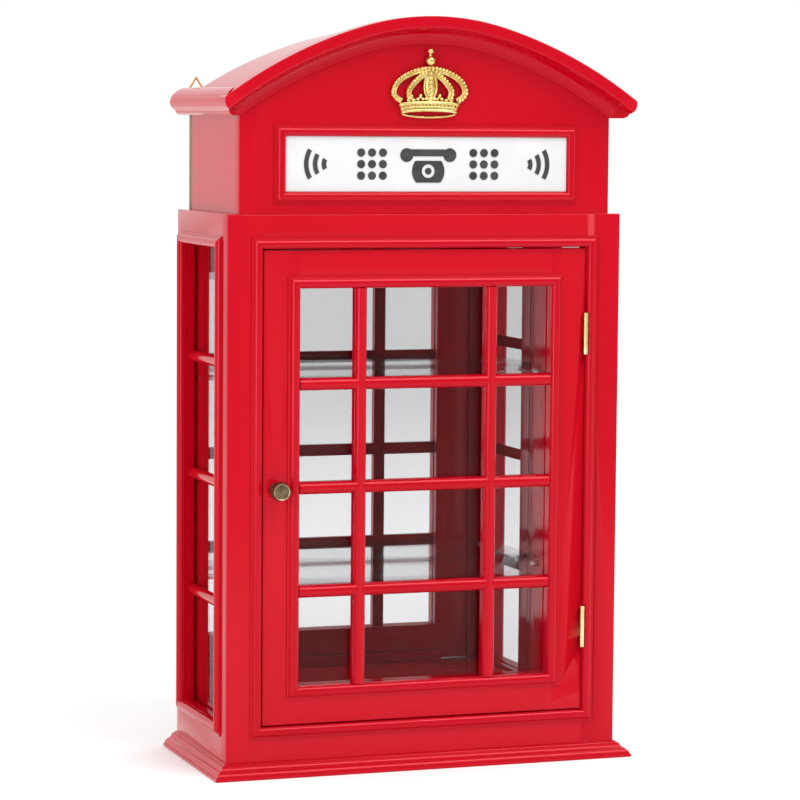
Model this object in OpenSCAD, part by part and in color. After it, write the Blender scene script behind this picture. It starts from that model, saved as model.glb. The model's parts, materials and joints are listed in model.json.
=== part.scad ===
// Glazed display cabinet in the shape of a telephone booth: a lower case with a
// hinged glazed door, glazed sides, a mirror back and loose glass shelves, under a
// header with a sign, a crown ornament and an arched roof.
// Millimetres. +Z is up, the front faces -Y, and the origin is the centre of the
// base's underside.

/* [Case] */
// Width of the lower case
case_w = 365; // [360:1:370]
// Depth of the lower case, front face to wall
case_d = 159.6; // [156:0.2:164]
// Height of the top of the lower case
case_top = 490.5; // [488:0.5:493]
// Thickness of the side panels
panel_t = 20; // [19:0.5:21]
// Thickness of the face frame and of the door
frame_t = 18; // [17:0.5:19]
// Height of the top of the cabinet floor
floor_z = 43.8; // [42:0.1:43.8]

/* [Base] */
// Height of the base board and its moulding
base_h = 13.5; // [13:0.5:15]
// How far the base moulding stands out at the front
base_front = 13.4; // [11:0.1:15]
// How far the base moulding stands out at the sides
base_side = 12.8; // [11:0.1:15]

/* [Door] */
// Width of the door
door_w = 299.8; // [296:0.2:302]
// Height of the door
door_h = 414.9; // [410:0.1:415]
// Height of the bottom edge of the door
door_z = 44.9; // [44.9:0.1:46]
// Width of the door's stiles
stile_w = 33; // [31:0.5:35]
// Height of the door's rails
rail_h = 33.4; // [31:0.2:35]
// Gap round the door
door_gap = 1.1; // [1:0.05:1.3]
// Width of the beads round the door's glass and the side windows
bead_w = 11; // [10:0.1:11.4]
// Height of the beads over the face that they sit on
bead_t = 4.6; // [4.2:0.1:5]
// Width of the door's glazing bars
bar_w = 11; // [10:0.5:12]
// Distance between the level glazing bars of the door
bar_pitch = 90.8; // [89:0.1:92]

/* [Side windows] */
// Front edge of the side opening behind the front face
win_front = 28; // [28:0.5:30]
// Rear edge of the side opening ahead of the wall
win_rear = 18.6; // [18:0.2:21]

/* [Shelves] */
// Height of the top of the upper glass shelf
upper_z = 346; // [335:1:355]
// Height of the top of the lower glass shelf
lower_z = 164.8; // [150:0.2:180]
// Thickness of the shelves
shelf_t = 4; // [3:0.5:5]

/* [Header] */
// Width of the header box
head_w = 343.7; // [343:0.1:345]
// Height of the top of the arch
arch_top = 662.3; // [662:0.1:663]
// How far the roof moulding stands out at the front
roof_over = 19.8; // [19.6:0.1:20.4]

/* [Hardware] */
// Height of the upper hinge's centre
hinge_high = 383.8; // [370:0.2:395]
// Height of the lower hinge's centre
hinge_low = 119.8; // [110:0.2:130]
// Length of the hinges
hinge_h = 37; // [36:0.5:39]
// Distance that the knob stands out from the door
knob_out = 20; // [18:0.5:22]

/* [Hidden] */
$fn = 64;

red = "crimson";
brass = "goldenrod";
clear = [0.75, 0.85, 0.85, 0.4];
far = 400;                                  // reach of the cutting blocks

// Planes of the case
wall_y = (case_d + base_front) / 2;         // rear face
face_y = wall_y - case_d;                   // front face
frame_y = face_y + frame_t;                 // rear face of the face frame and door
case_x = case_w / 2;
in_x = case_x - panel_t;                    // inner face of a side panel
back_y = wall_y - 2.5;                      // front of the back panel
mirror_y = back_y - 2;                      // front of the mirror
board_t = 12;                               // floor, deck and header boards

// Face frame
hole_x = door_w / 2 + door_gap;
hole_z0 = door_z - door_gap;
hole_z1 = door_z + door_h + door_gap;
face_bead_w = 10.1;
bead_step = 1.6;                            // low step on a bead's outer edge
bead_step_t = 1.4;

// Door
door_x = door_w / 2;
door_z1 = door_z + door_h;
light_x = door_x - stile_w;                 // half the glazed opening
light_z0 = door_z + rail_h;
light_z1 = door_z1 - rail_h;
glass_t = 3;
glass_set = 8.5;                            // glass behind the door's front face
glass_y = face_y + glass_set;
rabbet = 12;
glass_play = 0.5;
bar_out = 11.8;                             // bar's crest in front of the glass
bar_x = 60.85;                              // centre of an upright bar
bar_mid_z = (light_z0 + light_z1) / 2;
level_drop = 0.2;                           // level bars' crests under the uprights'

// Side windows
win_y0 = face_y + win_front;
win_y1 = wall_y - win_rear;
win_z0 = door_z + 0.6;
win_z1 = door_z1 + 0.5;
win_rabbet = 6;
win_bar_w = 10.6;
win_glass_x = case_x - 11.2;                // outer face of the side glass
stop_x = win_glass_x - glass_t;             // outer face of the strips behind it
win_stop_w = 21;                            // upright strips
win_stop_h = 6.5;                           // level strips

// Shelves
shelf_x = in_x - 1;
shelf_y0 = frame_y + 13.1;
shelf_y1 = mirror_y - 0.5;
pin_rad = 2.5;
pin_drop = 2.8;                             // pin's axis under the shelf
pin_reach = 7;                              // pin's length inside the case
pin_y = [face_y + 35.1, wall_y - 23.5];

// Header
head_x = head_w / 2;
head_y = face_y + 2.2;
head_in_x = head_x - board_t;
head_front_y = head_y + board_t;
head_back_y = wall_y - 10;
eave_z = 575.3;                             // underside of the eaves
eave_h = 24.3;
eave_top = eave_z + eave_h;
eave_rest = eave_z + 14.3;                  // underside of the eave on the header
eave_in = 16;                               // eave's reach over the header
eave_over = 18.35;
arch_r = 230;
flank_r = 400;
turn_sin = 0.28;                            // direction where the flanks take over
turn_cos = 0.96;
arch_cz = arch_top - arch_r;
flank_cx = -(flank_r - arch_r) * turn_sin;
flank_cz = arch_cz - (flank_r - arch_r) * turn_cos;
roof_drop = 9.3;                            // roof panel under the moulding's edge
roof_t = 8;
roof_fn = 180;
arch_steps = 48;                            // straight runs along a board's arched top

// Sign
sign_x = 140.45;
sign_z0 = 500.1;
sign_z1 = 567.9;
sign_bead_w = 10;
sign_bead_t = 5.1;
sign_t = 1.5;
symbol_t = 0.6;

// Crown
crown_z = 573.6;
crown_t = 4;

// Hinges
hinge_z = [hinge_low, hinge_high];
axis_x = door_x;
axis_y = face_y - 2.6;
knuckle_r = 2.2;
hinge_pin_r = 1.1;
pin_play = 0.05;
knuckle_play = 0.15;
knuckle_h = 9.3;                            // height of the two outer knuckles
leaf_t = 0.9;
leaf_back = 11.1;                           // leaf's reach behind the front face
leaf_split = 0.5;                           // gap between the closed leaves
gap_x = door_x + door_gap / 2;
leaf_front = 0.1;
leaf_screw_z = [-12, 12];
screw_r = 1.1;
screw_head_r = 2;
screw_len = 9.5;

// Knob
knob_x = 11.4 - door_x;
knob_z = 252;
knob_bolt_r = 2;
knob_bore = 8;

// Catch
catch_z = 300;
catch_h = 24;
catch_t = 3;
catch_screw_x = -156.8;
catch_screw_z = [-7, 7];
strike_x = -143;
strike_t = 1;

// Hanging rings
hanger_x = 165;
hanger_z = 590;
hanger_w = 10;
hanger_t = 1;
hanger_low = 560;
hanger_screw_z = 572;
eye_out = 2.15;                             // ring's axis behind the wall plane
wire_r = 0.95;
eye_play = 0.08;
ring_half = 12;
ring_h = 18.95;

// ---- shared shapes ----

// Draws a right-hand shape, or its mirror image on the left when s is -1
module on_side(s) {
  if (s < 0) mirror([1, 0, 0]) children();
  else children();
}

// A block from one corner to the opposite one
module block(low, high) {
  translate(low) cube(high - low);
}

// One mitred stick along X. The profile's x is depth, negative to the front, and its
// y runs from the outer edge at 0 to the inner edge at b.
module mitred_stick(length, b) {
  half = length / 2;
  intersection() {
    rotate([90, 0, 90]) linear_extrude(length, center = true) children();
    rotate([90, 0, 0]) linear_extrude(80, center = true)
      polygon([[-half, 0], [half, 0], [half - b, b], [b - half, b]]);
  }
}

// Four mitred sticks round a w x h outline that stands on z = 0 and faces -Y
module mitred_frame(w, h, b) {
  for (side = [0:3]) {
    level = side % 2 == 0;
    translate([0, 0, h / 2]) rotate([0, 90 * side, 0])
      translate([0, 0, -(level ? h : w) / 2])
        mitred_stick(level ? w : h, b) children();
  }
}

// Bead b wide and t high: a low step on the outer edge beside a half round
module bead_profile(b, t) {
  r = (b - bead_step) / 2;
  translate([-bead_step_t, 0]) square([bead_step_t, b - r]);
  intersection() {
    translate([r - t, bead_step + r]) circle(r = r);
    translate([-t, bead_step]) square([t, b - bead_step]);
  }
  if (t > r) translate([r - t, bead_step]) square([t - r, b - bead_step]);
}

// Glazing bar w wide with a half-round front, t deep
module bar_profile(w, t) {
  r = w / 2;
  intersection() {
    translate([r - t, 0]) circle(r = r);
    translate([-t, -r]) square([t, w]);
  }
  if (t > r) translate([r - t, -r]) square([t - r, w]);
}

// Countersunk screw along -Z with its head's face at z = 0
module flat_screw() {
  head_h = 0.9;
  union() {
    translate([0, 0, -head_h]) cylinder(h = head_h, r1 = screw_r, r2 = screw_head_r, $fn = 32);
    translate([0, 0, -screw_len]) cylinder(h = screw_len - head_h, r = screw_r, $fn = 32);
  }
}

// ---- base ----

module base_board() {
  color(red) block([-case_x, face_y, 0], [case_x, wall_y, base_h]);
}

// Base moulding: a rounded toe, a long slope and a small step at the top
module base_profile(over) {
  polygon([[0, 0], [over - 0.9, 0], [over, 1.2], [over, 2.6],
    [3.6, base_h - 1.5], [1.8, base_h - 1.5], [1.8, base_h], [0, base_h]]);
}

module base_moulding_front() {
  out_x = case_x + base_side;
  color(red) translate([0, face_y, 0]) intersection() {
    rotate([90, 0, -90]) linear_extrude(2 * out_x, center = true) base_profile(base_front);
    linear_extrude(base_h) polygon([[-case_x, 0], [case_x, 0],
      [out_x, -base_front], [-out_x, -base_front]]);
  }
}

module base_moulding_side(s) {
  color(red) on_side(s) translate([case_x, 0, 0]) intersection() {
    translate([0, wall_y, 0]) rotate([90, 0, 0])
      linear_extrude(case_d + base_front) base_profile(base_side);
    linear_extrude(base_h) polygon([[0, face_y], [0, wall_y],
      [base_side, wall_y], [base_side, face_y - base_front]]);
  }
}

// ---- case ----

module floor_board() {
  color(red) block([-in_x, frame_y, floor_z - board_t], [in_x, back_y, floor_z]);
}

module deck_board() {
  color(red) block([-in_x, frame_y, case_top - board_t], [in_x, back_y, case_top]);
}

// Side panel with its window and the rabbet for the glass
module side_panel(s) {
  color(red) on_side(s) difference() {
    block([in_x, frame_y, base_h], [case_x, wall_y, case_top]);
    block([in_x - 1, win_y0, win_z0], [case_x + 1, win_y1, win_z1]);
    block([in_x - 1, win_y0 - win_rabbet, win_z0 - win_rabbet],
          [win_glass_x, win_y1 + win_rabbet, win_z1 + win_rabbet]);
  }
}

module side_bead(s) {
  color(red) on_side(s) translate([case_x, (win_y0 + win_y1) / 2, win_z0 - bead_w])
    rotate([0, 0, 90])
      mitred_frame(win_y1 - win_y0 + 2 * bead_w, win_z1 - win_z0 + 2 * bead_w, bead_w)
        bead_profile(bead_w, bead_t);
}

// Three level bars that leave four equal panes
module side_muntins(s) {
  pane = (win_z1 - win_z0 - 3 * win_bar_w) / 4;
  color(red) on_side(s) for (i = [1:3])
    translate([win_glass_x, win_y0, win_z0 + i * (pane + win_bar_w) - win_bar_w / 2])
      rotate([0, 0, 90]) rotate([90, 0, 90]) linear_extrude(win_y1 - win_y0)
        bar_profile(win_bar_w, win_bar_w / 2);
}

module side_glass(s) {
  edge = win_rabbet - glass_play;
  color(clear) on_side(s) block([stop_x, win_y0 - edge, win_z0 - edge],
                                [win_glass_x, win_y1 + edge, win_z1 + edge]);
}

// Strips that hold the side glass from the inside, with holes for the shelf pins
module side_glass_stops() {
  y0 = win_y0 - win_rabbet;
  y1 = win_y1 + win_rabbet;
  z0 = win_z0 - win_rabbet;
  z1 = win_z1 + win_rabbet;
  color(red) for (s = [-1, 1]) on_side(s) difference() {
    union() {
      block([in_x, y0, z0], [stop_x, y0 + win_stop_w, z1]);
      block([in_x, y1 - win_stop_w, z0], [stop_x, y1, z1]);
      block([in_x, y0, z0], [stop_x, y1, z0 + win_stop_h]);
      block([in_x, y0, z1 - win_stop_h], [stop_x, y1, z1]);
    }
    shelf_pin_shapes();
  }
}

module face_stile_left() {
  color(red) difference() {
    block([-case_x, face_y, base_h], [-hole_x, frame_y, case_top]);
    catch_screw_shapes();
  }
}

module face_stile_right() {
  color(red) difference() {
    block([hole_x, face_y, base_h], [case_x, frame_y, case_top]);
    for (z = hinge_z) translate([0, 0, z]) {
      leaf_mortise(1);
      leaf_screw_shapes(1);
    }
  }
}

module face_rail_top() {
  color(red) block([-hole_x, face_y, hole_z1], [hole_x, frame_y, case_top]);
}

module face_rail_bottom() {
  color(red) block([-hole_x, face_y, base_h], [hole_x, frame_y, hole_z0]);
}

// Bead round the door's opening, notched beside the hinges
module face_bead() {
  notch = 0.5;
  color(red) difference() {
    translate([0, face_y, hole_z0 - face_bead_w])
      mitred_frame(2 * (hole_x + face_bead_w), hole_z1 - hole_z0 + 2 * face_bead_w, face_bead_w)
        bead_profile(face_bead_w, bead_t);
    for (z = hinge_z)
      block([hole_x - 1, face_y - 10, z - hinge_h / 2 - notch],
            [axis_x + knuckle_r + notch, face_y + 1, z + hinge_h / 2 + notch]);
  }
}

module back_panel() {
  color("tan") block([-in_x, back_y, base_h], [in_x, wall_y, case_top]);
}

module mirror_glass() {
  side_gap = 0.2;
  color("lightsteelblue") block([side_gap - in_x, mirror_y, floor_z],
                                [in_x - side_gap, back_y, case_top - board_t]);
}

module shelf(top) {
  color(clear) block([-shelf_x, shelf_y0, top - shelf_t], [shelf_x, shelf_y1, top]);
}

// Right-hand pins of both shelves
module shelf_pin_shapes() {
  for (top = [upper_z, lower_z]) for (y = pin_y)
    translate([in_x - pin_reach, y, top - shelf_t - pin_drop]) rotate([0, 90, 0])
      cylinder(h = pin_reach + stop_x - in_x, r = pin_rad, $fn = 32);
}

module shelf_pins() {
  color("silver") for (s = [-1, 1]) on_side(s) shelf_pin_shapes();
}

// Strip on the floor that the door closes against
module door_stop() {
  stop_half = 120;
  stop_size = 10;
  gap = 0.3;
  color(red) block([-stop_half, frame_y + gap, floor_z],
                   [stop_half, frame_y + gap + stop_size, floor_z + stop_size]);
}

// ---- header ----

// Height at x of the arch's outline once it is lowered by drop, square to itself
function arch_at(x, drop) =
  abs(x) <= (arch_r - drop) * turn_sin
    ? arch_cz + sqrt(pow(arch_r - drop, 2) - x * x)
    : flank_cz + sqrt(pow(flank_r - drop, 2) - pow(abs(x) - flank_cx, 2));

// Arched board between two planes, cut away under the eaves
module arched_board(y0, y1) {
  drop = roof_drop + roof_t;
  top_x = head_x - eave_in;
  translate([0, y1, 0]) rotate([90, 0, 0]) linear_extrude(y1 - y0)
    polygon(concat([[-head_x, case_top], [head_x, case_top], [head_x, eave_rest],
      [top_x, eave_rest]],
      [for (i = [0:arch_steps]) let (x = top_x * (1 - 2 * i / arch_steps)) [x, arch_at(x, drop)]],
      [[-top_x, eave_rest], [-head_x, eave_rest]]));
}

// Sweeps a profile along the arch. The profile's x is its height over the outline and
// its y is the distance towards -Y. The middle and flank rings meet on planes through
// the middle arc's centre.
module along_arch() {
  seam_x = far * turn_sin;
  seam_z = arch_cz + far * turn_cos;
  intersection() {
    translate([0, 0, arch_cz]) rotate([90, 0, 0])
      rotate_extrude($fn = roof_fn) translate([arch_r, 0]) children();
    rotate([90, 0, 0]) linear_extrude(2 * far, center = true)
      polygon([[0, arch_cz], [seam_x, seam_z], [-seam_x, seam_z]]);
  }
  for (s = [-1, 1]) on_side(s) intersection() {
    translate([flank_cx, 0, flank_cz]) rotate([90, 0, 0])
      rotate_extrude($fn = roof_fn) translate([flank_r, 0]) children();
    rotate([90, 0, 0]) linear_extrude(2 * far, center = true)
      polygon([[0, arch_cz], [far, arch_cz], [far, seam_z], [seam_x, seam_z]]);
  }
}

module pediment_board() {
  color(red) arched_board(head_y, head_front_y);
}

module head_side(s) {
  color(red) on_side(s)
    block([head_in_x, head_front_y, case_top], [head_x, head_back_y, eave_rest]);
}

module head_back() {
  color(red) difference() {
    arched_board(head_back_y, wall_y);
    for (s = [-1, 1]) on_side(s) hanger_screw_shape();
  }
}

module roof_panel() {
  color(red) intersection() {
    along_arch() translate([-roof_drop - roof_t, -wall_y]) square([roof_t, wall_y - head_y]);
    block([-head_x, -far, eave_top], [head_x, far, arch_top]);
  }
}

// Roof moulding: a flat face with a rounded lower nose over a cove
module roof_profile() {
  p = roof_over;
  cove_r = 11.5;
  cove_h = 0.9;
  cove_p = 13.5;
  translate([-eave_h, -head_y]) polygon(concat(
    [[0, 0], [eave_h, 0], [eave_h, p - 0.8], [eave_h - 0.8, p], [15.6, p],
     [14, p - 0.8], [13, p - 2.4]],
    [for (a = [6:-16:-90]) [cove_h + cove_r * cos(a), cove_p + cove_r * sin(a)]],
    [[0, 2]]));
}

// Outline of an eave, from the header's side outwards and from its underside up
eave_shape = [[0, 0], [9.5, 0], [12.3, 1.7], [13.2, 3.8], [15.3, 5.7], [17.1, 7.5],
  [18.35, 10.9], [17.6, 14.6], [15.4, 18.2], [12, 21.2], [8.6, 23.3], [5, 24.3],
  [-16, 24.3], [-16, 14.3], [0, 14.3]];

// Eave moulding along a side, mitred to the roof moulding at the front
module eave_solid() {
  translate([head_x, 0, eave_z]) difference() {
    translate([0, wall_y, 0]) rotate([90, 0, 0])
      linear_extrude(wall_y - head_y + roof_over) polygon(eave_shape);
    translate([0, 0, -1]) linear_extrude(eave_h + 2) polygon([[-eave_in - 1, head_y],
      [0, head_y], [eave_over + 1, head_y - roof_over * (eave_over + 1) / eave_over],
      [eave_over + 1, head_y - far], [-eave_in - 1, head_y - far]]);
  }
}

module eave_moulding(s) {
  color(red) on_side(s) eave_solid();
}

module roof_moulding_front() {
  top = arch_top - eave_z + 10;
  color(red) difference() {
    intersection() {
      along_arch() roof_profile();
      for (s = [-1, 1]) on_side(s) translate([head_x, 0, eave_z]) rotate([90, 0, 0])
        linear_extrude(far) polygon([[-head_x, 0], [9.5, 0], [12.3, 1.7], [13.2, 3.8],
          [15.3, 5.7], [17.1, 7.5], [18.35, 10.9], [18.35, top], [-head_x, top]]);
    }
    for (s = [-1, 1]) on_side(s) eave_solid();
  }
}

// ---- sign and ornament ----

module sign_frame() {
  color(red) translate([0, head_y, sign_z0])
    mitred_frame(2 * sign_x, sign_z1 - sign_z0, sign_bead_w)
      bead_profile(sign_bead_w, sign_bead_t);
}

module sign_panel() {
  b = sign_bead_w;
  color("white") block([b - sign_x, head_y - sign_t, sign_z0 + b],
                       [sign_x - b, head_y, sign_z1 - b]);
}

// Telephone set: a lying handset over a round body with a dial
module set_symbol() {
  difference() {
    translate([0, -6]) circle(r = 15);
    translate([-20, -40]) square([40, 24]);
    translate([-20, 3]) square([40, 20]);
    translate([0, -6]) circle(r = 6);
  }
  translate([0, -6]) circle(r = 3);
  translate([-20, 7]) square([40, 6]);
  for (s = [-1, 1]) translate([s * 20, 8]) circle(r = 6);
}

module keypad_symbol() {
  for (i = [-1:1]) for (j = [-1:1]) translate([i * 10, j * 10]) circle(r = 3.6);
}

module wave_symbol() {
  for (r = [10:8:26]) intersection() {
    difference() {
      circle(r = r);
      circle(r = r - 4);
    }
    polygon([[0, 0], [40, 24], [40, -24]]);
  }
}

module sign_symbol() {
  color("black") translate([0, head_y - sign_t, (sign_z0 + sign_z1) / 2])
    rotate([90, 0, 0]) linear_extrude(symbol_t) {
      set_symbol();
      for (s = [0, 1]) mirror([s, 0]) {
        translate([52, 0]) keypad_symbol();
        translate([88, 0]) wave_symbol();
      }
    }
}

// Crown: a curved band, arches that meet under a ball, and beads along the band
module crown_ornament() {
  band_r = 62;
  band_h = 10;
  bead_r = 2.3;
  color(brass) translate([0, head_y, crown_z]) union() {
    rotate([90, 0, 0]) linear_extrude(crown_t) {
      intersection() {
        difference() {
          translate([0, band_r]) circle(r = band_r);
          translate([0, band_r]) circle(r = band_r - band_h);
        }
        translate([-30, 0]) square([60, 30]);
      }
      for (s = [0, 1]) mirror([s, 0]) {
        intersection() {
          difference() {
            translate([18, 27]) circle(r = 20.3);
            translate([18, 27]) circle(r = 15.8);
          }
          translate([0, 16]) square([60, 60]);
        }
        intersection() {
          difference() {
            translate([8, 27]) circle(r = 19);
            translate([8, 27]) circle(r = 15);
          }
          translate([0, 14]) square([60, 60]);
        }
      }
      translate([-2.5, 6]) square([5, 42]);
      translate([-20, 42]) square([40, 5]);
    }
    for (a = [-24:8:24])
      translate([57 * sin(a), -crown_t, band_r - 57 * cos(a)]) sphere(r = bead_r, $fn = 24);
    translate([0, -4.9, 50.4]) sphere(r = 4.7, $fn = 32);
    translate([0, -crown_t, 58.6]) sphere(r = 3.6, $fn = 32);
  }
}

// ---- hanging rings ----

module hanger_screw_shape() {
  translate([hanger_x, wall_y + hanger_t, hanger_screw_z]) rotate([-90, 0, 0]) flat_screw();
}

// Strap with a rolled eye round the ring's lower wire
module hanger_straps() {
  color(brass) for (s = [-1, 1]) on_side(s) difference() {
    union() {
      block([hanger_x - hanger_w / 2, wall_y, hanger_low],
            [hanger_x + hanger_w / 2, wall_y + hanger_t, hanger_z]);
      translate([hanger_x, wall_y + eye_out, hanger_z]) rotate([0, 90, 0])
        cylinder(h = hanger_w, r = eye_out, center = true);
    }
    translate([hanger_x, wall_y + eye_out, hanger_z]) rotate([0, 90, 0])
      cylinder(h = hanger_w + 2, r = wire_r + eye_play, center = true);
    hanger_screw_shape();
  }
}

// Triangular wire ring that stands up on its lower wire
module hanging_ring(s) {
  side_len = sqrt(pow(ring_half, 2) + pow(ring_h, 2));
  lean = atan(ring_half / ring_h);
  color(brass) on_side(s) translate([hanger_x, wall_y + eye_out, hanger_z]) union() {
    rotate([0, 90, 0]) cylinder(h = 2 * ring_half, r = wire_r, center = true, $fn = 32);
    for (e = [-1, 1]) translate([e * ring_half, 0, 0]) {
      sphere(r = wire_r, $fn = 32);
      rotate([0, -e * lean, 0]) cylinder(h = side_len, r = wire_r, $fn = 32);
    }
    translate([0, 0, ring_h]) sphere(r = wire_r, $fn = 32);
  }
}

// ---- hinges ----

module knuckle(z0, z1, bore) {
  translate([axis_x, axis_y, z0]) difference() {
    cylinder(h = z1 - z0, r = knuckle_r);
    translate([0, 0, -1]) cylinder(h = z1 - z0 + 2, r = bore, $fn = 32);
  }
}

// Plates of the two leaves, side by side in the gap beside the closed door
module frame_leaf_plate() {
  x0 = gap_x + leaf_split / 2;
  block([x0, face_y + leaf_front, -hinge_h / 2], [x0 + leaf_t, face_y + leaf_back, hinge_h / 2]);
}

module door_leaf_plate() {
  x1 = gap_x - leaf_split / 2;
  block([x1 - leaf_t, face_y + leaf_front, -hinge_h / 2], [x1, face_y + leaf_back, hinge_h / 2]);
}

// Mortise for a leaf, open at the front face: s is 1 for the frame and -1 for the door
module leaf_mortise(s) {
  near = gap_x + s * leaf_split / 2;
  far = near + s * leaf_t;
  block([min(near, far), face_y - 1, -hinge_h / 2],
        [max(near, far), face_y + leaf_back, hinge_h / 2]);
}

// Screws of one leaf: s is 1 for the frame and -1 for the door
module leaf_screw_shapes(s) {
  for (z = leaf_screw_z)
    translate([gap_x + s * leaf_split / 2, face_y + leaf_back / 2 + 1, z])
      rotate([0, -s * 90, 0]) flat_screw();
}

// Tongue that joins a leaf's plate to its knuckle
module leaf_tongue(x0, z0, z1) {
  difference() {
    block([x0, axis_y, z0], [x0 + leaf_t, face_y + leaf_front, z1]);
    translate([axis_x, axis_y, z0 - 1])
      cylinder(h = z1 - z0 + 2, r = (knuckle_r + hinge_pin_r) / 2);
  }
}

module hinge_frame_leaf(z) {
  top = hinge_h / 2;
  x0 = gap_x + leaf_split / 2;
  color(brass) translate([0, 0, z]) difference() {
    union() {
      frame_leaf_plate();
      for (low = [-top, top - knuckle_h]) {
        leaf_tongue(x0, low, low + knuckle_h);
        knuckle(low, low + knuckle_h, hinge_pin_r);
      }
    }
    leaf_screw_shapes(1);
  }
}

module hinge_door_leaf(z) {
  half = hinge_h / 2 - knuckle_h - knuckle_play;
  color(brass) translate([0, 0, z]) difference() {
    union() {
      door_leaf_plate();
      leaf_tongue(gap_x - leaf_split / 2 - leaf_t, -half, half);
      knuckle(-half, half, hinge_pin_r + pin_play);
    }
    leaf_screw_shapes(-1);
  }
}

module hinge_pins() {
  color(brass) for (z = hinge_z) translate([axis_x, axis_y, z])
    cylinder(h = hinge_h, r = hinge_pin_r, center = true, $fn = 32);
}

module catch_screw_shapes() {
  for (z = catch_screw_z)
    translate([catch_screw_x, frame_y + catch_t, catch_z + z])
      rotate([-90, 0, 0]) flat_screw();
}

module strike_screw_shape() {
  translate([strike_x, frame_y + strike_t, catch_z]) rotate([-90, 0, 0]) flat_screw();
}

module case_screws() {
  color(brass) {
    for (z = hinge_z) translate([0, 0, z]) leaf_screw_shapes(1);
    for (s = [-1, 1]) on_side(s) hanger_screw_shape();
    catch_screw_shapes();
  }
}

module door_screws() {
  color(brass) {
    for (z = hinge_z) translate([0, 0, z]) leaf_screw_shapes(-1);
    strike_screw_shape();
  }
}

// ---- door ----

// Rabbet behind the door's opening, for the glass and its stops
module door_rabbet() {
  block([-light_x - rabbet, glass_y, light_z0 - rabbet],
        [light_x + rabbet, frame_y + 1, light_z1 + rabbet]);
}

module door_stile_left() {
  color(red) difference() {
    block([-door_x, face_y, door_z], [-light_x, frame_y, door_z1]);
    door_rabbet();
    translate([knob_x, frame_y + 1, knob_z]) rotate([90, 0, 0])
      cylinder(h = frame_t + 2, r = knob_bolt_r, $fn = 32);
    strike_screw_shape();
  }
}

module door_stile_right() {
  color(red) difference() {
    block([light_x, face_y, door_z], [door_x, frame_y, door_z1]);
    door_rabbet();
    for (z = hinge_z) translate([0, 0, z]) {
      leaf_mortise(-1);
      leaf_screw_shapes(-1);
    }
  }
}

module door_rail(z0) {
  color(red) difference() {
    block([-light_x, face_y, z0], [light_x, frame_y, z0 + rail_h]);
    door_rabbet();
  }
}

module door_bead() {
  color(red) translate([0, face_y, light_z0 - bead_w])
    mitred_frame(2 * (light_x + bead_w), light_z1 - light_z0 + 2 * bead_w, bead_w)
      bead_profile(bead_w, bead_t);
}

module upright_bars() {
  for (s = [-1, 1]) translate([s * bar_x, glass_y, light_z0])
    linear_extrude(light_z1 - light_z0) rotate([0, 0, 90]) bar_profile(bar_w, bar_out);
}

// Two upright bars with the level bars coped between them
module door_muntins() {
  spans = [[-light_x, -bar_x], [-bar_x, bar_x], [bar_x, light_x]];
  color(red) {
    upright_bars();
    for (i = [-1:1]) for (span = spans) difference() {
      translate([span[0], glass_y, bar_mid_z + i * bar_pitch]) rotate([90, 0, 90])
        linear_extrude(span[1] - span[0]) bar_profile(bar_w, bar_out - level_drop);
      upright_bars();
    }
  }
}

module door_glass() {
  edge = rabbet - glass_play;
  color(clear) block([-light_x - edge, glass_y, light_z0 - edge],
                     [light_x + edge, glass_y + glass_t, light_z1 + edge]);
}

module door_glass_stops() {
  w = light_x + rabbet;
  z0 = light_z0 - rabbet;
  z1 = light_z1 + rabbet;
  y0 = glass_y + glass_t;
  color(red) {
    block([-w, y0, z0], [w, frame_y, z0 + rabbet]);
    block([-w, y0, z1 - rabbet], [w, frame_y, z1]);
    for (s = [-1, 1]) on_side(s)
      block([w - rabbet, y0, z0 + rabbet], [w, frame_y, z1 - rabbet]);
  }
}

// Turned knob: a flared foot, a waist, a wide shoulder and a flat face in a thin rim
module knob() {
  o = knob_out;
  color("darkgoldenrod") translate([knob_x, face_y, knob_z]) rotate([90, 0, 0]) difference() {
    rotate_extrude() polygon([[0, 0], [6, 0], [6, 1.4], [4.4, 2.8], [3.8, 6], [5, o - 11],
      [8.7, o - 7.6], [8.7, o - 6.4], [7.2, o - 0.6], [6.9, o], [6.3, o], [6.1, o - 0.4],
      [0, o - 0.4]]);
    translate([0, 0, -1]) cylinder(h = knob_bore + 1, r = knob_bolt_r, $fn = 32);
  }
}

module knob_screw() {
  head_h = 2.5;
  color("silver") translate([knob_x, frame_y, knob_z]) rotate([90, 0, 0]) union() {
    translate([0, 0, -head_h]) cylinder(h = head_h, r = 4);
    cylinder(h = frame_t + knob_bore - 1, r = knob_bolt_r, $fn = 32);
  }
}

// ---- catch ----

// Magnet on a flange behind the face frame
module catch_magnet() {
  low = catch_z - catch_h / 2;
  high = catch_z + catch_h / 2;
  front = frame_y + strike_t + 0.2;
  color("saddlebrown") difference() {
    union() {
      block([-162.3, frame_y, low], [-151.3, frame_y + catch_t, high]);
      block([-153, front, low], [-139, frame_y + 11.1, high]);
    }
    catch_screw_shapes();
  }
}

module strike_plate() {
  color("silver") difference() {
    block([strike_x - 5, frame_y, catch_z - 7], [strike_x + 5, frame_y + strike_t, catch_z + 7]);
    strike_screw_shape();
  }
}

// ---- drawing ----

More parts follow.
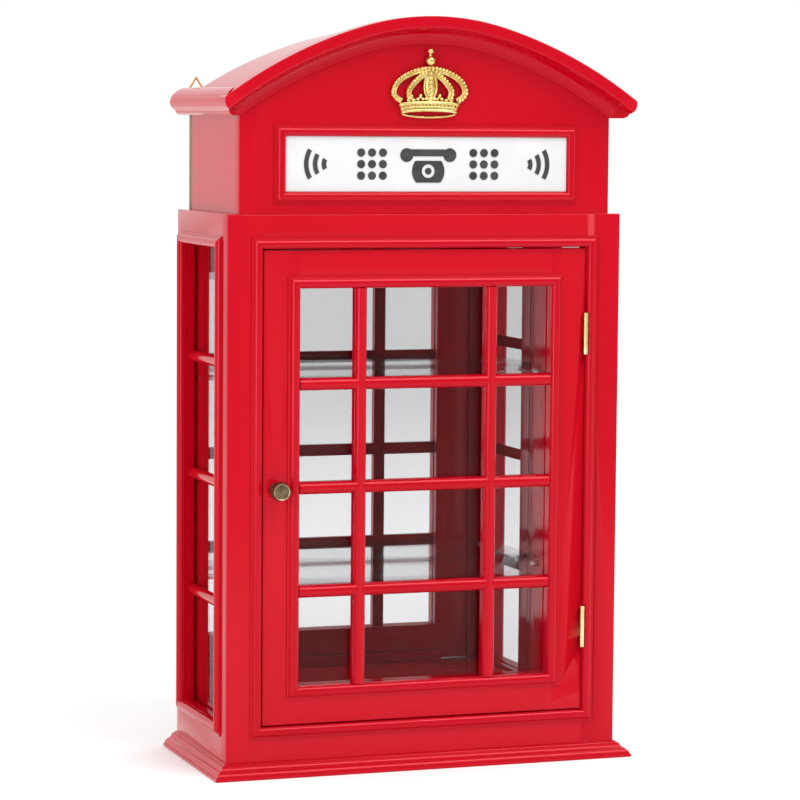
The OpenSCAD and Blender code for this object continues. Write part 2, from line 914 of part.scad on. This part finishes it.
base_board();
base_moulding_front();
base_moulding_side(-1);  // base_moulding_left
base_moulding_side(1);  // base_moulding_right
floor_board();
side_panel(-1);  // side_panel_left
side_panel(1);  // side_panel_right
side_bead(-1);  // side_bead_left
side_bead(1);  // side_bead_right
side_muntins(-1);  // side_muntins_left
side_muntins(1);  // side_muntins_right
side_glass(-1);  // side_glass_left
side_glass(1);  // side_glass_right
side_glass_stops();
face_stile_left();
face_stile_right();
face_rail_top();
face_rail_bottom();
face_bead();
back_panel();
mirror_glass();  // mirror
shelf(upper_z);  // shelf_upper
shelf(lower_z);  // shelf_lower
shelf_pins();
deck_board();
pediment_board();
head_side(-1);  // head_side_left
head_side(1);  // head_side_right
head_back();
roof_panel();
roof_moulding_front();
eave_moulding(-1);  // eave_moulding_left
eave_moulding(1);  // eave_moulding_right
sign_frame();
sign_panel();
sign_symbol();
crown_ornament();
hanger_straps();
hanging_ring(-1);  // ring_left
hanging_ring(1);  // ring_right
hinge_frame_leaf(hinge_high);  // hinge_upper_frame_leaf
hinge_frame_leaf(hinge_low);  // hinge_lower_frame_leaf
hinge_door_leaf(hinge_high);  // hinge_upper_door_leaf
hinge_door_leaf(hinge_low);  // hinge_lower_door_leaf
hinge_pins();
case_screws();
door_screws();
door_stile_left();
door_stile_right();
door_rail(door_z1 - rail_h);  // door_rail_top
door_rail(door_z);  // door_rail_bottom
door_bead();
door_muntins();
door_glass();
door_glass_stops();
knob();
knob_screw();
catch_magnet();
strike_plate();
door_stop();
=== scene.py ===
import json
import math

import bmesh
import bpy
from mathutils import Matrix, Vector


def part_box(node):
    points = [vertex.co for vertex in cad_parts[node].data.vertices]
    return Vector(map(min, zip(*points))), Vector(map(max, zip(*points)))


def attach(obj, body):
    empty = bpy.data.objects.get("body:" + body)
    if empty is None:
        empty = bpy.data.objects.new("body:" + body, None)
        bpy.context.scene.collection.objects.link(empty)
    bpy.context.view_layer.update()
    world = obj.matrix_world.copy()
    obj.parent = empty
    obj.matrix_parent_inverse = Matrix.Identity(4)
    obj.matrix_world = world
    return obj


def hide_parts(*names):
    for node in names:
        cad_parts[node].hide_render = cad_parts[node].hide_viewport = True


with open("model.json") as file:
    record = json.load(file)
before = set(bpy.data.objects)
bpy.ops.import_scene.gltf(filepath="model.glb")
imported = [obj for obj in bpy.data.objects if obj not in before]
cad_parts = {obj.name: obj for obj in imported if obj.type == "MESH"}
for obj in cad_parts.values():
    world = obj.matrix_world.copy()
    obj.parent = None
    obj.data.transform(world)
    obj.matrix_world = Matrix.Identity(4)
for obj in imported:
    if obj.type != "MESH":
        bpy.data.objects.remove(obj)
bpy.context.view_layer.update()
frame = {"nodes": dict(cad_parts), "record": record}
nodes = frame["nodes"]
record = frame["record"]
body_of = {n: b for b, names in record["behaviour"]["bodies"].items() for n in names}
slot_of = {s["node"]: s["material_slot"] for s in record["subparts"]}
MM = 0.001
scene = bpy.context.scene


# ---------------------------------------------------------------- materials

class Graph:
    """A material with one Principled shader and short helpers for its nodes."""

    def __init__(self, name, **values):
        self.mat = bpy.data.materials.new(name)
        self.mat.use_nodes = True
        self.tree = self.mat.node_tree
        self.tree.nodes.clear()
        self.out = self.add("ShaderNodeOutputMaterial")
        self.bsdf = self.add("ShaderNodeBsdfPrincipled")
        self.tree.links.new(self.bsdf.outputs[0], self.out.inputs[0])
        for key, value in values.items():
            self.bsdf.inputs[key.replace("_", " ")].default_value = value
        self.coord = self.add("ShaderNodeTexCoord").outputs["Object"]

    def add(self, kind, **settings):
        node = self.tree.nodes.new(kind)
        for key, value in settings.items():
            setattr(node, key, value)
        return node

    def link(self, a, b):
        self.tree.links.new(a, b)

    def noise(self, scale, detail=3.0, rough=0.5, stretch=None):
        node = self.add("ShaderNodeTexNoise")
        node.inputs["Scale"].default_value = scale
        node.inputs["Detail"].default_value = detail
        node.inputs["Roughness"].default_value = rough
        if stretch:
            mapping = self.add("ShaderNodeMapping")
            mapping.inputs["Scale"].default_value = stretch
            self.link(self.coord, mapping.inputs["Vector"])
            self.link(mapping.outputs[0], node.inputs["Vector"])
        else:
            self.link(self.coord, node.inputs["Vector"])
        return node.outputs["Fac"]

    def span(self, fac, low, high, start=0.3, end=0.7):
        node = self.add("ShaderNodeMapRange")
        node.inputs["From Min"].default_value = start
        node.inputs["From Max"].default_value = end
        node.inputs["To Min"].default_value = low
        node.inputs["To Max"].default_value = high
        self.link(fac, node.inputs["Value"])
        return node.outputs[0]

    def ramp(self, fac, *stops):
        node = self.add("ShaderNodeValToRGB")
        band = node.color_ramp
        while len(band.elements) < len(stops):
            band.elements.new(0.5)
        for element, (place, colour) in zip(band.elements, stops):
            element.position = place
            element.color = (*colour, 1)
        self.link(fac, node.inputs[0])
        return node.outputs[0]

    def mix(self, fac, a, b):
        node = self.add("ShaderNodeMix", data_type="RGBA")
        self.link(fac, node.inputs[0])
        for value, socket in ((a, node.inputs[6]), (b, node.inputs[7])):
            if isinstance(value, tuple):
                socket.default_value = (*value, 1)
            else:
                self.link(value, socket)
        return node.outputs[2]

    def colour(self, value):
        self.link(value, self.bsdf.inputs["Base Color"])

    def rough(self, value):
        self.link(value, self.bsdf.inputs["Roughness"])

    def bump(self, height, strength, distance):
        node = self.add("ShaderNodeBump")
        node.inputs["Strength"].default_value = strength
        node.inputs["Distance"].default_value = distance
        self.link(height, node.inputs["Height"])
        self.link(node.outputs[0], self.bsdf.inputs["Normal"])

    def pointiness(self):
        return self.add("ShaderNodeNewGeometry").outputs["Pointiness"]


def lacquer():
    g = Graph("red_lacquer", IOR=1.5)
    g.bsdf.inputs["Specular Tint"].default_value = (1, 0.28, 0.32, 1)
    tone = g.ramp(g.noise(5, 2), (0.3, (0.415, 0.0, 0.007)), (0.7, (0.46, 0.0, 0.010)))
    # Sharp convex edges, where pointiness is high, are painted a lighter red: a painted edge
    # highlight, not wear
    edge_highlight = g.span(g.pointiness(), 0, 0.35, 0.53, 0.62)
    g.colour(g.mix(edge_highlight, tone, (0.56, 0.01, 0.018)))
    g.rough(g.span(g.noise(14, 4), 0.09, 0.14))
    g.bump(g.noise(180, 2), 0.05, 0.0004)
    return g.mat


def glass():
    g = Graph("clear_glass", Metallic=1.0, Roughness=0.01)
    facing = g.add("ShaderNodeLayerWeight").outputs["Facing"]
    steep = g.add("ShaderNodeMath", operation="POWER")
    steep.inputs[1].default_value = 5
    g.link(facing, steep.inputs[0])
    share = g.add("ShaderNodeMath", operation="MULTIPLY_ADD")
    share.inputs[1].default_value = 0.5
    share.inputs[2].default_value = 0.006
    g.link(steep.outputs[0], share.inputs[0])
    g.link(share.outputs[0], g.bsdf.inputs["Alpha"])
    g.colour(g.ramp(g.noise(3, 1), (0.3, (0.93, 0.96, 0.95)), (0.7, (0.96, 0.98, 0.97))))
    g.mat.surface_render_method = "BLENDED"
    return g.mat


def glass_edge():
    g = Graph("shelf_edge", Roughness=0.12, IOR=1.5, Alpha=0.5)
    g.colour(g.ramp(g.noise(40, 2, stretch=(1, 1, 8)), (0.3, (0.22, 0.30, 0.27)),
                    (0.7, (0.36, 0.48, 0.43))))
    return g.mat


def silver():
    g = Graph("mirror_glass", Metallic=1.0)
    g.colour(g.ramp(g.noise(2, 1), (0.3, (0.545, 0.545, 0.56)), (0.7, (0.565, 0.565, 0.58))))
    g.rough(g.span(g.noise(9, 2), 0.0, 0.02))
    return g.mat


def metal(name, dark, light, low, high, scale=60, bump=0.15, crease_shade=None, metallic=1.0):
    g = Graph(name, Metallic=metallic)
    tone = g.ramp(g.noise(scale, 4), (0.35, dark), (0.65, light))
    # Hollows and creases, where pointiness is low, are mixed toward a dark colour: painted shade
    if crease_shade:
        tone = g.mix(g.span(g.pointiness(), 1, 0, 0.44, 0.51), tone, crease_shade)
    g.colour(tone)
    g.rough(g.span(g.noise(scale * 2, 3), low, high))
    g.bump(g.noise(scale * 12, 2), bump, 0.0002)
    return g.mat


def plain(name, dark, light, low, high, scale=30, bump=0.1, stretch=None):
    g = Graph(name)
    g.colour(g.ramp(g.noise(scale, 4, stretch=stretch), (0.3, dark), (0.7, light)))
    g.rough(g.span(g.noise(scale * 2, 2), low, high))
    g.bump(g.noise(scale * 14, 2, stretch=stretch), bump, 0.0003)
    return g.mat


MATERIALS = {
    "red_lacquer": lacquer(),
    "back_board": plain("back_board", (0.17, 0.10, 0.055), (0.26, 0.16, 0.09), 0.55, 0.75, 20, 0.3,
                        stretch=(1, 1, 0.12)),
    "clear_glass": glass(),
    "mirror_glass": silver(),
    "shelf_pin_steel": metal("shelf_pin_steel", (0.52, 0.52, 0.53), (0.68, 0.68, 0.69), 0.22, 0.34),
    "sign_white": plain("sign_white", (0.62, 0.62, 0.63), (0.66, 0.66, 0.67), 0.3, 0.4, 30, 0.05),
    "sign_black": plain("sign_black", (0.018, 0.018, 0.02), (0.04, 0.04, 0.043), 0.4, 0.55, 80),
    # The crown's dark brown is painted shade in its creases and hollows
    "crown_gold": metal("crown_gold", (0.62, 0.45, 0.14), (0.82, 0.66, 0.29), 0.2, 0.36, 120, 0.3,
                        crease_shade=(0.26, 0.14, 0.03)),
    "hanger_brass": metal("hanger_brass", (0.70, 0.47, 0.20), (0.85, 0.62, 0.30), 0.22, 0.34),
    # The hinges' dark brown is painted shade in their creases and knuckle splits
    "hinge_brass": metal("hinge_brass", (0.74, 0.52, 0.22), (0.90, 0.70, 0.38), 0.18, 0.3, 90, 0.2,
                         crease_shade=(0.25, 0.15, 0.05)),
    "antique_brass": metal("antique_brass", (0.10, 0.075, 0.04), (0.22, 0.17, 0.10), 0.28, 0.45,
                           140, 0.35),
    "catch_plastic": plain("catch_plastic", (0.10, 0.05, 0.025), (0.15, 0.08, 0.04), 0.4, 0.55),
}
EDGE = glass_edge()
RIM = metal("knob_rim", (0.26, 0.20, 0.12), (0.44, 0.35, 0.22), 0.18, 0.3, 160, 0.2)


def paint(obj, *mats):
    obj.data.materials.clear()
    for mat in mats:
        obj.data.materials.append(mat)


for name, obj in nodes.items():
    mat = MATERIALS[slot_of[name]]
    if not obj.material_slots:
        obj.data.materials.append(mat)
    for material_slot in obj.material_slots:
        material_slot.material = mat


# ---------------------------------------------------------------- mesh helpers

def smooth(mesh, angle=40):
    for face in mesh.polygons:
        face.use_smooth = True
    mesh.set_sharp_from_angle(angle=math.radians(angle))


def piece(name, bm, body, slot, *mats, replaces=(), angle=40):
    bmesh.ops.recalc_face_normals(bm, faces=bm.faces)
    mesh = bpy.data.meshes.new(name)
    bm.to_mesh(mesh)
    bm.free()
    obj = bpy.data.objects.new(name, mesh)
    scene.collection.objects.link(obj)
    paint(obj, *(mats or (MATERIALS[slot],)))
    smooth(mesh, angle)
    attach(obj, body)
    if replaces:
        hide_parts(*replaces)
    return obj


def on_plane(edge, axis, value):
    return all(abs(v.co[axis] - value) < 2e-5 for v in edge.verts)


def soften(node, width, joints=(), shortest=6 * MM):
    """A copy of a board with its free edges rounded. Edges that lie on a joint's plane,
    given as (axis, place in mm), stay sharp so that flush boards still meet."""
    bm = bmesh.new()
    bm.from_mesh(nodes[node].data)
    bmesh.ops.remove_doubles(bm, verts=bm.verts, dist=2e-6)
    bmesh.ops.dissolve_limit(bm, angle_limit=math.radians(0.3), verts=bm.verts, edges=bm.edges)
    chosen = []
    for edge in bm.edges:
        if len(edge.link_faces) != 2 or edge.calc_length() < shortest:
            continue
        if edge.calc_face_angle(0) < math.radians(50):
            continue
        if any(on_plane(edge, axis, place * MM) for axis, place in joints):
            continue
        chosen.append(edge)
    if chosen:
        bmesh.ops.bevel(bm, geom=chosen, offset=width, offset_type="OFFSET", segments=3,
                        profile=0.5, affect="EDGES", clamp_overlap=True)
    return piece(node + "_board", bm, body_of[node], slot_of[node], replaces=(node,))


def tube(bm, points, radius, sides=10):
    """A round tube through points, closed at its ends. radius is a number or one per point."""
    points = [Vector(p) for p in points]
    radii = radius if isinstance(radius, (list, tuple)) else [radius] * len(points)
    rings = []
    side = None
    for i, point in enumerate(points):
        ahead = (points[min(i + 1, len(points) - 1)] - points[max(i - 1, 0)]).normalized()
        if side is None:
            side = ahead.orthogonal().normalized()
        side = (side - ahead * side.dot(ahead)).normalized()
        up = ahead.cross(side)
        rings.append([bm.verts.new(point + radii[i] * (math.cos(a) * side + math.sin(a) * up))
                      for a in (2 * math.pi * k / sides for k in range(sides))])
    for a, b in zip(rings, rings[1:]):
        for k in range(sides):
            bm.faces.new((a[k], a[(k + 1) % sides], b[(k + 1) % sides], b[k]))
    bm.faces.new(rings[0][::-1])
    bm.faces.new(rings[-1])


def ball(bm, centre, radius, scale=(1, 1, 1), detail=10):
    matrix = Matrix.Translation(centre) @ Matrix.Diagonal((*scale, 1))
    bmesh.ops.create_uvsphere(bm, u_segments=2 * detail, v_segments=detail, radius=radius,
                              matrix=matrix)


def lathe(profile, centre, sides=64):
    """A turned solid about -Y from (radius, distance out) points in mm."""
    bm = bmesh.new()
    rings = []
    for r, out in profile:
        y = centre[1] - out * MM
        if r == 0:
            rings.append([bm.verts.new((centre[0], y, centre[2]))])
            continue
        rings.append([bm.verts.new((centre[0] + r * MM * math.cos(a), y,
                                    centre[2] + r * MM * math.sin(a)))
                      for a in (2 * math.pi * k / sides for k in range(sides))])
    for a, b in zip(rings, rings[1:]):
        for k in range(sides):
            n = (k + 1) % sides
            corners = [a[k % len(a)], a[n % len(a)], b[n % len(b)], b[k % len(b)]]
            bm.faces.new(list(dict.fromkeys(corners)))
    return bm


def curve_through(points, steps=8):
    """Points on a smooth line through the given ones."""
    points = [Vector(p) for p in points]
    line = []
    for i in range(len(points) - 1):
        p0 = points[max(i - 1, 0)]
        p1, p2 = points[i], points[i + 1]
        p3 = points[min(i + 2, len(points) - 1)]
        for k in range(steps):
            t = k / steps
            line.append(0.5 * (2 * p1 + (p2 - p0) * t + (2 * p0 - 5 * p1 + 4 * p2 - p3) * t * t
                               + (3 * p1 - p0 - 3 * p2 + p3) * t ** 3))
    line.append(points[-1])
    return line


# ---------------------------------------------------------------- boards

low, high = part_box("face_stile_left")
face = low[1] / MM
frame_back = high[1] / MM
hole = -high[0] / MM
base_top = low[2] / MM
case_top = high[2] / MM
light = -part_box("door_stile_left")[1][0] / MM
head_low, head_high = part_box("pediment_board")
head_back = head_high[1] / MM
eave_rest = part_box("head_side_left")[1][2] / MM
rear_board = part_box("head_back")[0][1] / MM
X, Y, Z = 0, 1, 2

for s in ("left", "right"):
    sign = -1 if s == "left" else 1
    soften("face_stile_" + s, 0.9 * MM, [(X, sign * hole), (Y, frame_back), (Z, base_top)])
    soften("head_side_" + s, 0.6 * MM, [(Y, head_back), (Y, rear_board), (Z, case_top),
                                       (Z, eave_rest)])
    soften("door_stile_" + s, 0.6 * MM, [(X, sign * light)])
for s in ("top", "bottom"):
    soften("face_rail_" + s, 0.9 * MM, [(X, hole), (X, -hole), (Y, frame_back), (Z, base_top)])
    soften("door_rail_" + s, 0.6 * MM, [(X, light), (X, -light)])
for s in ("left", "right"):
    soften("side_panel_" + s, 0.9 * MM, [(Y, frame_back), (Z, base_top)], shortest=60 * MM)
soften("pediment_board", 0.7 * MM, [(Y, head_back), (Z, case_top), (Z, eave_rest)],
       shortest=60 * MM)
soften("roof_panel", 0.5 * MM, [(Y, head_low[1] / MM)], shortest=60 * MM)
soften("sign_panel", 0.4 * MM)
soften("door_stop", 0.8 * MM)
soften("catch_magnet", 0.6 * MM)
for n in ("hinge_upper_frame_leaf", "hinge_lower_frame_leaf", "hinge_upper_door_leaf",
          "hinge_lower_door_leaf"):
    soften(n, 0.12 * MM, shortest=8 * MM)


# ---------------------------------------------------------------- base moulding

board_low, board_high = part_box("base_board")
front_out = board_low[1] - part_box("base_moulding_front")[0][1]
side_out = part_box("base_moulding_right")[1][0] - board_high[0]
height = board_high[2]

# Outline as shares of the moulding's reach and height: toe, fillet, ogee, bead and step
OGEE = [(0, 0), (0.93, 0), (0.98, 0.03), (1, 0.08), (1, 0.17), (0.98, 0.21), (0.90, 0.22),
        (0.90, 0.27), (0.88, 0.34), (0.82, 0.42), (0.74, 0.48), (0.66, 0.53), (0.66, 0.57),
        (0.60, 0.575), (0.53, 0.60), (0.46, 0.65), (0.41, 0.72), (0.37, 0.80), (0.35, 0.86),
        (0.27, 0.865), (0.27, 0.89), (0.24, 0.92), (0.18, 0.925), (0.15, 0.93), (0.14, 0.985),
        (0.12, 1), (0, 1)]


def moulding(name, place):
    """A closed stick whose two ends come from place(share out, height, end)."""
    bm = bmesh.new()
    ends = [[bm.verts.new(place(p, h * height, end)) for p, h in OGEE] for end in (0, 1)]
    for k in range(len(OGEE)):
        n = (k + 1) % len(OGEE)
        bm.faces.new((ends[0][k], ends[0][n], ends[1][n], ends[1][k]))
    bm.faces.new(ends[0][::-1])
    bm.faces.new(ends[1])
    piece(name + "_ogee", bm, body_of[name], slot_of[name], replaces=(name,), angle=32)


moulding("base_moulding_front", lambda p, h, end: (
    (1 if end else -1) * (board_high[0] + p * side_out), board_low[1] - p * front_out, h))
for s, name in ((-1, "base_moulding_left"), (1, "base_moulding_right")):
    moulding(name, lambda p, h, end, s=s: (
        s * (board_high[0] + p * side_out),
        board_high[1] if end else board_low[1] - p * front_out, h))


# ---------------------------------------------------------------- shelves

for name in ("shelf_upper", "shelf_lower"):
    a, b = map(Vector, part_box(name))
    bm = bmesh.new()
    size = b - a
    centre = (a + b) / 2
    bmesh.ops.create_cube(bm, size=1, matrix=Matrix.Translation(centre)
                          @ Matrix.Diagonal((*size, 1)))
    bmesh.ops.bevel(bm, geom=list(bm.edges), offset=0.5 * MM, segments=2, profile=0.5,
                    affect="EDGES", clamp_overlap=True)
    bm.normal_update()
    # The flat faces are clear, and the small bevels between them take the edge's tint
    for f in bm.faces:
        f.material_index = int(sorted(map(abs, f.normal))[1] > 0.2)
    piece(name + "_glass", bm, name, "clear_glass", MATERIALS["clear_glass"], EDGE,
          replaces=(name,))


# ---------------------------------------------------------------- crown

crown_low, crown_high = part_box("crown_ornament")
back = crown_high[1]
foot = crown_low[2] / MM


def spot(x, z, out):
    return Vector((x * MM, back - out * MM, (foot + z) * MM))


ARC = [math.pi / 2 * (k / 16 - 1) for k in range(33)]


def hoop(width, z, drop, out):
    """Half a ring round the crown's front, highest and furthest out in the middle."""
    return [spot(width * math.sin(t), z - drop * (1 - math.cos(t)),
                 1.6 + (out - 1.6) * max(0, math.cos(t)) ** 0.6) for t in ARC]


def beside(line, by):
    """A line moved sideways in the crown's plane."""
    moved = []
    for i, point in enumerate(line):
        d = (line[min(i + 1, len(line) - 1)] - line[max(i - 1, 0)]).normalized()
        moved.append(point + by * MM * Vector((d.z, 0, -d.x)))
    return moved


def beads(bm, line, radius, pitch, lift):
    """Beads at an even pitch along a line, lifted off its face."""
    walked = pitch / 2
    for a, b in zip(line, line[1:]):
        step = (b - a).length / MM
        while walked < step:
            ball(bm, a.lerp(b, walked / step) + Vector((0, -lift * MM, 0)), radius * MM, detail=7)
            walked += pitch
        walked -= step


bm = bmesh.new()
# Band: rolled rims with a row of beads between them, and the rear rim below
for width, z, out, r in ((25, 7.4, 5.8, 1.4), (26, 10.4, 5.4, 0.8), (26.9, 14, 6, 1.5)):
    tube(bm, hoop(width, z, 2.3, out), r * MM)
tube(bm, [spot(24.6 * math.sin(t), 4.9 - 3.7 * math.cos(t), 1.5) for t in ARC], 1.1 * MM)
rows = [[bm.verts.new(v) for v in hoop(width, z, 2.3, 4.6)]
        for width, z in ((25, 7.4), (26, 10.4), (26.9, 14))]
backs = [[bm.verts.new((v.co.x, back, v.co.z)) for v in row] for row in (rows[0], rows[-1])]
for a, b in ((rows[0], rows[1]), (rows[1], rows[2]), (rows[2], backs[1]), (backs[1], backs[0]),
             (backs[0], rows[0])):
    for k in range(32):
        bm.faces.new((a[k], a[k + 1], b[k + 1], b[k]))
bm.faces.new((rows[0][0], rows[1][0], rows[2][0], backs[1][0], backs[0][0]))
bm.faces.new((rows[0][-1], backs[0][-1], backs[1][-1], rows[2][-1], rows[1][-1]))
beads(bm, [Vector(v) for v in hoop(26.2, 12.1, 2.3, 5)], 1.05, 3.4, 0.5)

# Arches: ribbons of rails side by side, with a row of beads on the outer edge
OUTER = [(26.4, 14.2, 2.6), (31.4, 17.4, 2.6), (34.3, 22.6, 2.8), (32.2, 30, 3.4),
         (26, 36.4, 4), (17, 41, 4.6), (8, 43.4, 5.2), (0, 44.2, 5.4)]
INNER = [(19.6, 16.4, 4), (20.8, 24, 4.6), (15.6, 32, 5.2), (8, 38.6, 5.6), (1, 42.6, 5.6)]
for sign in (-1, 1):
    for shape, gaps in ((OUTER, (0, 1.5, 3)), (INNER, (0, 1.4, 2.8))):
        line = curve_through([spot(sign * x, z, out) for x, z, out in shape])
        for gap, r in zip(gaps, (1.3, 0.9, 1.05)):
            tube(bm, beside(line, -sign * gap), r * MM)
        beads(bm, line, 1.6, 3.3, 1.3)
    # Leaves standing on the band
    for x, z, r in ((8.8, 17, 1.9), (17.4, 16, 2.1)):
        ball(bm, spot(sign * x, z + 2.6, 5), r * MM, (0.9, 0.8, 1.15), 7)
        for lean in (-1, 1):
            ball(bm, spot(sign * (x + lean * 2.3), z, 4.8), 0.85 * r * MM, (1.15, 0.8, 0.9), 7)
    tube(bm, curve_through([spot(0, 16, 5.2), spot(sign * 4.2, 21, 5.6), spot(sign * 5.6, 28, 6),
                            spot(sign * 4.2, 36, 6), spot(0, 43, 5.4)]), 1.1 * MM)
    ball(bm, spot(sign * 3.4, 17.4, 5.4), 2 * MM, (1.2, 0.9, 0.9), 7)
# Middle arch: a pointed leaf with beads down its centre
ball(bm, spot(0, 29.5, 4.4), 4.9 * MM, (1, 0.6, 2.5), 14)
for k in range(6):
    ball(bm, spot(0, 20.4 + 3.7 * k, 7.2), (2.1 - 0.12 * abs(k - 2.5)) * MM, (1.15, 0.7, 0.85), 8)
ball(bm, spot(0, 17, 6), 2.5 * MM, (1.1, 0.9, 1), 8)
# Orb and finial
ball(bm, spot(0, 50.2, 4.9), 4.4 * MM, detail=14)
tube(bm, [spot(4.2 * math.sin(t), 51.4, 4.9 + 4.2 * math.cos(t))
          for t in (math.pi * (k / 12 - 1) for k in range(25))], 0.4 * MM, 8)
tube(bm, [spot(0, 54, 4.9), spot(0, 57, 4.9)], 1.3 * MM)
ball(bm, spot(0, 58.8, 4.9), 2.8 * MM, detail=10)
piece("crown_relief", bm, "case", "crown_gold", replaces=("crown_ornament",), angle=60)


# ---------------------------------------------------------------- knob

knob_low, knob_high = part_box("knob")
seat = ((knob_low[0] + knob_high[0]) / 2, knob_high[1], (knob_low[2] + knob_high[2]) / 2)
BODY = [(0, 0), (6, 0), (6.1, 0.6), (5.9, 1.3), (4.8, 2.2), (4.0, 3.6), (3.75, 5.4), (4.0, 7.2),
        (5.0, 9.2), (6.9, 11.2), (8.2, 12.4), (8.65, 13.1), (8.65, 13.8), (8.3, 15),
        (7.9, 17), (7.5, 18.9), (6.8, 19.1), (0, 19.1)]
piece("knob_turned", lathe(BODY, seat), "door", "antique_brass", replaces=("knob",))
RING = [(6.2, 18.9), (7.5, 18.9), (7.55, 19.4), (7.3, 19.85), (6.9, 20), (6.5, 19.85),
        (6.2, 19.5), (6.2, 18.9)]
bm = lathe(RING, seat)
bmesh.ops.remove_doubles(bm, verts=bm.verts, dist=1e-7)
piece("knob_rim_ring", bm, "door", "antique_brass", RIM)


# ---------------------------------------------------------------- stage, light, camera

bpy.ops.mesh.primitive_plane_add(size=16, location=(0, 0, 0))
floor = bpy.context.object
floor.name = "floor"
g = Graph("floor_pale", Roughness=0.9)
g.bsdf.inputs["Specular IOR Level"].default_value = 0.0
g.colour(g.ramp(g.noise(1, 1), (0.3, (0.93, 0.93, 0.93)), (0.7, (0.95, 0.95, 0.95))))
paint(floor, g.mat)


def area(name, place, target, size, energy):
    data = bpy.data.lights.new(name, "AREA")
    data.shape = "RECTANGLE"
    data.size, data.size_y = size
    data.energy = energy
    obj = bpy.data.objects.new(name, data)
    obj.location = place
    obj.rotation_euler = (Vector(target) - Vector(place)).to_track_quat("-Z", "Y").to_euler()
    scene.collection.objects.link(obj)


area("softbox_left", (-2.2, -1.9, 0.7), (0, 0, 0.35), (1.0, 1.6), 25)
area("softbox_top", (0.75, -1.2, 2.3), (0, 0, 0.35), (1.6, 1.0), 30)

world = bpy.data.worlds.new("studio")
world.use_nodes = True
scene.world = world
tree = world.node_tree
tree.nodes.clear()
out = tree.nodes.new("ShaderNodeOutputWorld")
back_light = tree.nodes.new("ShaderNodeBackground")
back_light.inputs["Color"].default_value = (1, 1, 1, 1)
# A white backdrop behind the object, a dimmer room before it and a white ceiling; the camera
# sees only backdrop
where = tree.nodes.new("ShaderNodeSeparateXYZ")
tree.links.new(tree.nodes.new("ShaderNodeTexCoord").outputs["Generated"], where.inputs[0])
room = tree.nodes.new("ShaderNodeMapRange")
for key, number in (("From Min", -0.3), ("From Max", 0.3), ("To Min", 0.58), ("To Max", 1.0)):
    room.inputs[key].default_value = number
tree.links.new(where.outputs["Y"], room.inputs["Value"])
level = tree.nodes.new("ShaderNodeMapRange")
level.inputs["To Max"].default_value = 1.0
seen = tree.nodes.new("ShaderNodeLightPath").outputs["Is Camera Ray"]
tree.links.new(seen, level.inputs["Value"])
above = tree.nodes.new("ShaderNodeMapRange")
for key, number in (("From Min", 0.3), ("From Max", 0.6), ("To Max", 1.2)):
    above.inputs[key].default_value = number
tree.links.new(where.outputs["Z"], above.inputs["Value"])
tree.links.new(room.outputs[0], above.inputs["To Min"])
tree.links.new(above.outputs[0], level.inputs["To Min"])
tree.links.new(level.outputs[0], back_light.inputs["Strength"])
tree.links.new(back_light.outputs[0], out.inputs[0])

scene.view_settings.view_transform = "Standard"

LENS = 144.4                                # mm, on a 36 mm sensor
YAW, PITCH, ROLL = -19.467, -5.034, -0.4627   # degrees
CAMERA_AT = (-0.95892, -2.71636, 0.57469)

camera_data = bpy.data.cameras.new("camera")
camera_data.sensor_width = 36
camera_data.lens = LENS
camera_data.clip_end = 50
camera = bpy.data.objects.new("camera", camera_data)
turn = (Matrix.Rotation(math.radians(YAW), 3, "Z")
        @ Matrix.Rotation(math.radians(PITCH), 3, "X")
        @ Matrix.Rotation(math.radians(ROLL), 3, "Y"))
right, ahead, up = turn.col[0], turn.col[1], turn.col[2]
pose = Matrix((right, up, -ahead)).transposed().to_4x4()
pose.translation = CAMERA_AT
camera.matrix_world = pose
scene.collection.objects.link(camera)
bpy.context.scene.camera = camera
